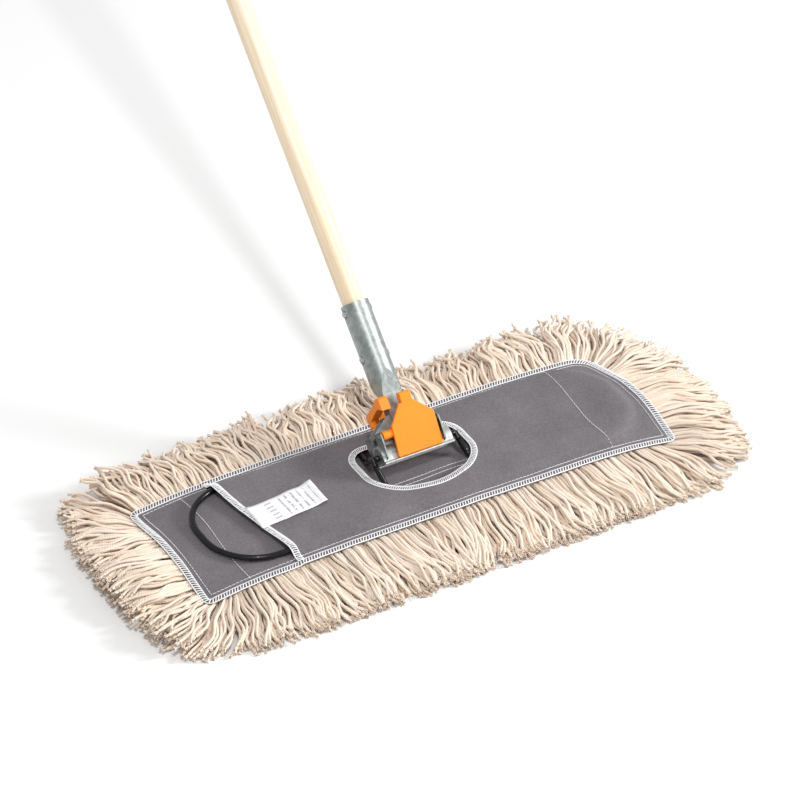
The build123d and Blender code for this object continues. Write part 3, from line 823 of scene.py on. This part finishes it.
def fringeTree():
    names = ("count", "length", "tipLow", "tipHigh", "wave", "hump", "clump", "seed", "radius", "depth")
    start = newTree("yarnFringe", names, ("coreLow", "coreHigh"))
    roots = rootsAlong(start)
    place = start.node("GeometryNodeInputPosition")
    core = place.vector("MAXIMUM", place, start.out("coreLow"))
    core = core.vector("MINIMUM", core, start.out("coreHigh"))
    flat = place.vector("MULTIPLY", place.vector("SUBTRACT", place, core), (1.0, 1.0, 0.0))
    roots = keep(roots, "rootPoint", place, "FLOAT_VECTOR")
    roots = keep(roots, "outward", flat.vector("NORMALIZE", flat), "FLOAT_VECTOR")
    roots = keep(roots, "strandTone", chance(start, 0.0, 1.0, 1))
    roots = keep(roots, "layer", chance(start, 0.0, 1.0, 2))
    roots = keep(roots, "phase", chance(start, 0.0, 6.283, 3))
    roots = keep(roots, "stray", chance(start, -1.0, 1.0, 4))
    roots = keep(roots, "size", chance(start, 0.88, 1.06, 5))
    made = strandsOn(roots, (0.001, 0, 0), strand["steps"])
    along = start.node("GeometryNodeSplineParameter")
    made = keep(made, "strandAlong", along)
    root = kept(start, "rootPoint", "FLOAT_VECTOR")
    outward = kept(start, "outward", "FLOAT_VECTOR")
    tone, layer, phase = kept(start, "strandTone"), kept(start, "layer"), kept(start, "phase")
    stray, size = kept(start, "stray"), kept(start, "size")
    salted = root.vector("ADD", root, (0.0, 0.0, 0.0))
    salt = root.node("ShaderNodeCombineXYZ", None, {2: start.out("seed")})
    start.tree.links.new(salt.socket, salted.socket.node.inputs[1])

    # Where each strand goes: yaw fans it out, drift and curl make it wavy, and it falls to its tip's height.
    tuft = noiseOn(salted, 62.0, 1.0) - 0.5
    broad = noiseOn(salted, 17.0, 0.0) - 0.5
    yaw = (tuft * start.out("clump") * 2.4 + broad * 0.8 + stray * 0.10) * (0.35 + along * 0.65)
    side = outward.vector("CROSS_PRODUCT", (0.0, 0.0, 1.0), outward)
    drift = noiseOn(salted, 24.0, 1.0) * 16.0 + phase * 0.30
    wavy = (along * (7.5 + tone * 2.5) + drift).sin() * along * start.out("wave")
    curl = (along * (13.0 + stray * 3.0) + phase * 2.0).sin() * along * start.out("wave") * 0.30
    reach = along * start.out("length") * size
    ahead = reach * yaw.cos()
    across = reach * yaw.sin() + wavy + curl
    rootParts = root.node("ShaderNodeSeparateXYZ", None, {0: root})
    top = rootParts.out(2) - layer * start.out("depth")
    spread = noiseOn(salted, 34.0, 1.0)
    lifted = (start.out("tipHigh") - start.out("tipLow")) * (1.0 - layer) * (0.35 + spread * 1.2)
    high = start.out("tipLow") + lifted
    fall = along * along * (3.0 - along * 2.0) * 0.55 + along * 0.45
    lump = (along * math.pi).sin() * start.out("hump") * (1.0 - layer) * (0.25 + spread)
    rolling = (along * (7.0 + stray * 2.0) + phase * 1.7).sin() * along * start.out("wave") * 0.45
    height = top + (high - top) * fall + lump + rolling
    height = height.math("MAXIMUM", height, start.out("radius"))
    spot = root.vector("ADD", root.vector("MULTIPLY", root, (1.0, 1.0, 0.0)), scaled(outward, ahead))
    spot = spot.vector("ADD", spot, scaled(side, across))
    spot = spot.vector("ADD", spot, spot.node("ShaderNodeCombineXYZ", None, {2: height}))
    made = made.node("GeometryNodeSetPosition", None, {0: made, "Position": spot})

    flare = (along - 0.86).clamp() * 2.2
    thick = (0.86 + tone * 0.28) * (1.0 + flare)
    made = made.node("GeometryNodeSetCurveRadius", None, {0: made, "Radius": thick})
    tubes = strandTubes(start, made)

    ends = start.node("GeometryNodeCurveEndpointSelection", None, {"Start Size": 0, "End Size": 1})
    heading = start.node("GeometryNodeInputTangent")
    facing = start.node("FunctionNodeAlignRotationToVector", {"axis": "X"}, {"Vector": heading})
    roll = start.node("FunctionNodeRandomValue", {"data_type": "FLOAT"}, {2: 0.0, 3: 6.283, "Seed": 5}, 1)
    facing = facing.node("FunctionNodeRotateRotation", {"rotation_space": "LOCAL"},
                         {0: facing, 1: roll.node("ShaderNodeCombineXYZ", None, {0: roll})})
    tips = made.node("GeometryNodeInstanceOnPoints", None,
                     {0: made, "Selection": ends, "Instance": hairTuft(start), "Rotation": facing})
    join = start.node("GeometryNodeJoinGeometry")
    for piece in (tubes, tips.node("GeometryNodeRealizeInstances", None, {0: tips})):
        start.tree.links.new(piece.socket, join.socket.node.inputs[0])
    finishTree(aboveFloor(join), start.out("material"))
    return start.tree


def edgePath(first, last):
    whole = spaced(clothOutline(strand["inset"]), 0.002)
    middle = (cloth["left"] + cloth["right"]) / 2
    halfLength = (cloth["right"] - cloth["left"]) / 2
    found = []
    corners = [(x, -cloth["half"]) for x in (cloth["left"], rightEdge(-cloth["half"]))]
    for x, y in whole:
        if min(math.dist((x, y), spot) for spot in corners) < strand["gap"]:
            continue
        angle = math.degrees(math.atan2(y / cloth["half"], (x - middle) / halfLength)) % 360
        if first <= angle < last or first <= angle + 360 < last:
            found.append(((angle - first) % 360, (x, y, topZ(x, y) - strand["sunk"])))
    return [point for angle, point in sorted(found)]


strandTree = fringeTree()
corner = 45.0
sides = {
    "rightFringe": (360 - corner, 360 + corner),
    "backFringe": (corner, 180 - corner),
    "leftFringe": (180 - corner, 180 + corner),
    "frontFringe": (180 + corner, 360 - corner),
}
core = strand["core"]
shared = {"radius": strand["radius"], "depth": strand["depth"], "material": materials["yarn"],
          "coreLow": (cloth["left"] + core, -cloth["half"] + core, -1.0),
          "coreHigh": (cloth["right"] - core, cloth["half"] - core, 1.0)}
fringes = {}
for name, (first, last) in sides.items():
    host = pathObject([(edgePath(first, last), False)])
    fringes[name] = grown(host, strandTree, dict(yarn[name], **shared), name)
print("fringe ready")


# Yarn under the head: rows of short tufts.
tufts = {
    "perRow": 104.0, "rows": 8, "height": 0.0195, "radius": 0.0026, "lean": 0.006,
    "margin": 0.006, "steps": 6, "seed": 50.0,
}


def tuftTree():
    start = newTree("yarnTufts", ("count", "height", "radius", "lean", "seed"))
    roots = rootsAlong(start)
    roots = keep(roots, "strandTone", chance(start, 0.0, 1.0, 1))
    roots = keep(roots, "phase", chance(start, 0.0, 6.283, 3))
    made = strandsOn(roots, (0, 0, -0.001), tufts["steps"])
    along = start.node("GeometryNodeSplineParameter")
    made = keep(made, "strandAlong", along)
    tone, phase = kept(start, "strandTone"), kept(start, "phase")
    lean = start.out("lean")
    x = phase.cos() * along * along * lean + (along * 7.0 + phase * 3.0).sin() * along * lean * 0.4
    y = phase.sin() * along * along * lean + (along * 6.0 + phase).sin() * along * lean * 0.4
    z = along * start.out("height") * (0.0 - 0.93 - tone * 0.06)
    shift = x.node("ShaderNodeCombineXYZ", None, {0: x, 1: y, 2: z})
    made = made.node("GeometryNodeSetPosition", None, {0: made, "Offset": shift})
    made = made.node("GeometryNodeSetCurveRadius", None, {0: made, "Radius": 0.9 + tone * 0.25})
    finishTree(aboveFloor(strandTubes(start, made)), start.out("material"))
    return start.tree


tuftNodes = tuftTree()
padding = {}
for index in range(3):
    low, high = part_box(f"yarn_strip_{index + 1}")
    lines = []
    for row in range(tufts["rows"]):
        y = low.y + (high.y - low.y) * (row + 0.5) / tufts["rows"]
        reach = high.x - low.x - 2 * tufts["margin"]
        xs = [low.x + tufts["margin"] + reach * i / 60 for i in range(61)]
        line = [(x, y + 0.0012 * math.sin(x * 90 + row * 2), backingZ(x, y) - strand["sunk"]) for x in xs]
        lines.append((line, False))
    values = {"count": tufts["perRow"], "height": tufts["height"], "radius": tufts["radius"],
              "lean": tufts["lean"], "seed": tufts["seed"] + index, "material": materials["yarn"]}
    name = f"yarnPad{index + 1}"
    padding[name] = grown(pathObject(lines), tuftNodes, values, name)
print("padding ready")


# The care label, sewn into the mouth's edge and curling at its free end.
def labelSheet():
    across, along = 12, 26
    points, faces = [], []
    for i in range(along + 1):
        for j in range(across + 1):
            u, v = i / along, j / across
            x = label["low"][0] + label["size"][0] * u
            y = label["low"][1] + label["size"][1] * v + label["turn"] * (x - label["low"][0])
            curl = label["curl"] * smooth((u - 0.72) / 0.28) ** 2
            buckle = 0.0007 * math.sin(u * 9 + v * 2) ** 2
            points.append((x, y, pocketZ(x, y) + 0.0009 + curl + buckle))
    for i in range(along):
        for j in range(across):
            a = i * (across + 1) + j
            faces.append((a, a + across + 1, a + across + 2, a + 1))
    made = meshObject("careLabelTape", points, faces)
    for polygon in made.data.polygons:
        polygon.use_smooth = True
    made.data.materials.append(materials["label"])
    wall = made.modifiers.new("wall", "SOLIDIFY")
    wall.thickness = label["thickness"]
    wall.offset = 1
    return made


tape = labelSheet()

# Coil springs on the lever pins.
spring = {"turns": 9.0, "wire": 0.0004}


def coilTree():
    start = newTree("coilSpring", ("length", "radius", "turns", "wire"))
    spiral = start.node("GeometryNodeCurveSpiral", None, {"Resolution": 14})
    for key, name in (("Rotations", "turns"), ("Start Radius", "radius"), ("End Radius", "radius"),
                      ("Height", "length")):
        start.tree.links.new(start.out(name).socket, spiral.socket.node.inputs[key])
    ring = roundSection(start, 6, start.out("wire"))
    tube = spiral.node("GeometryNodeCurveToMesh", None, {0: spiral, 1: ring, "Fill Caps": True})
    finishTree(tube, start.out("material"))
    return start.tree


coilNodes = coilTree()
springs = {}
for side in ("front", "rear"):
    low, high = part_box(f"{side}_spring")
    middle = (low + high) / 2
    length = high.x - low.x
    values = {"length": length - 2 * spring["wire"], "radius": (high.z - low.z) / 2 - spring["wire"],
              "turns": spring["turns"], "wire": spring["wire"], "material": materials["bright_steel"]}
    coil = grown(pathObject([([(0, 0, 0), (0, 0, 0.01)], False)]), coilNodes, values, f"{side}SpringCoil")
    coil.data.transform(Matrix.Translation((low.x + spring["wire"], middle.y, middle.z))
                        @ Matrix.Rotation(math.radians(90), 4, "Y"))
    springs[side] = coil
print("springs ready")


# What each piece rides on and stands for.
def settle(piece, body, slot, *replaced):
    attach(piece, body)
    if replaced:
        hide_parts(*replaced)


settle(backing, "mop_head", "grey_cloth", "backing_cloth")
settle(pocketPiece, "mop_head", "grey_cloth", "pocket_cloth")
settle(outerThread, "mop_head", "thread", "outer_overlock")
settle(windowThread, "mop_head", "thread", "window_overlock")
settle(mouthThread, "mop_head", "thread", "mouth_overlock")
settle(rowThread, "mop_head", "thread", "stitch_rows")
settle(tape, "mop_head", "label", "care_label")
for name, piece in fringes.items():
    settle(piece, "mop_head", "yarn", "fringe_" + name.replace("Fringe", ""))
for index, piece in enumerate(padding.values()):
    settle(piece, "mop_head", "yarn", f"yarn_strip_{index + 1}")
for side, coil in springs.items():
    settle(coil, "handle", "bright_steel", f"{side}_spring")

print("pieces settled")
